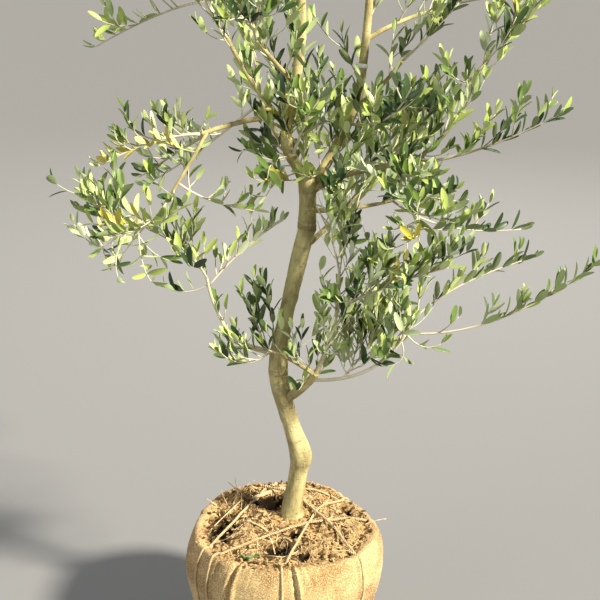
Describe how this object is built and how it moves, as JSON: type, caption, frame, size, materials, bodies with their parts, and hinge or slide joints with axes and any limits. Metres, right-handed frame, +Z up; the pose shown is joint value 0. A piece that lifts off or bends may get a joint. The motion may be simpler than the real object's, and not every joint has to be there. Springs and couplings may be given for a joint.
{
  "type": "olive tree on a burlap-wrapped root ball",
  "caption": "Young olive tree with a bent, forked trunk and an open head of narrow leaves, standing on a root ball wrapped in burlap and tied with string.",
  "frame": {"origin": "centre of the root ball's flat underside, on the ground", "axes": "+Z up the tree, +X to the right of its front, +Y towards its back"},
  "size_m": [0.9804, 0.8168, 1.869],
  "materials": {
    "burlap": "coarse woven jute cloth",
    "soil": "loose and matte",
    "jute": "twisted fibre",
    "bark": "smooth young bark",
    "foliage": "leathery leaves, paler below"
  },
  "bodies": {
    "root": {"burlap_wrap": "burlap", "soil": "soil", "front_string": "jute", "left_string": "jute", "back_string": "jute", "right_string": "jute", "trunk": "bark", "left_leader": "bark", "right_leader": "bark", "back_bough": "bark", "back_right_bough": "bark", "bare_bough": "bark", "crossing_bough": "bark", "drooping_bough": "bark", "far_right_rise": "bark", "front_bough": "bark", "left_bough": "bark", "left_lower_bough": "bark", "low_left_bough": "bark", "low_left_rise": "bark", "low_right_bough": "bark", "mid_right_bough": "bark", "mid_right_lower": "bark", "pale_bough": "bark", "right_inner_bough": "bark", "upper_left_bough": "bark", "upper_right_bough": "bark", "back_foliage": "foliage", "back_left_foliage": "foliage", "back_right_foliage": "foliage", "centre_foliage": "foliage", "crossing_foliage": "foliage", "crown_left_foliage": "foliage", "crown_right_foliage": "foliage", "drooping_foliage": "foliage", "far_right_foliage": "foliage", "far_top_foliage": "foliage", "front_foliage": "foliage", "front_right_foliage": "foliage", "left_inner_foliage": "foliage", "left_lower_foliage": "foliage", "left_rising_foliage": "foliage", "left_top_foliage": "foliage", "left_upper_foliage": "foliage", "long_low_foliage": "foliage", "low_left_foliage": "foliage", "low_left_side_foliage": "foliage", "low_right_foliage": "foliage", "pale_foliage": "foliage", "right_droop_foliage": "foliage", "right_inner_foliage": "foliage", "right_low_foliage": "foliage", "right_mid_foliage": "foliage", "right_middle_foliage": "foliage", "right_rising_foliage": "foliage", "right_top_foliage": "foliage", "upper_back_foliage": "foliage", "upper_front_foliage": "foliage", "upper_left_foliage": "foliage", "upper_right_foliage": "foliage"}
  },
  "joints": []
}
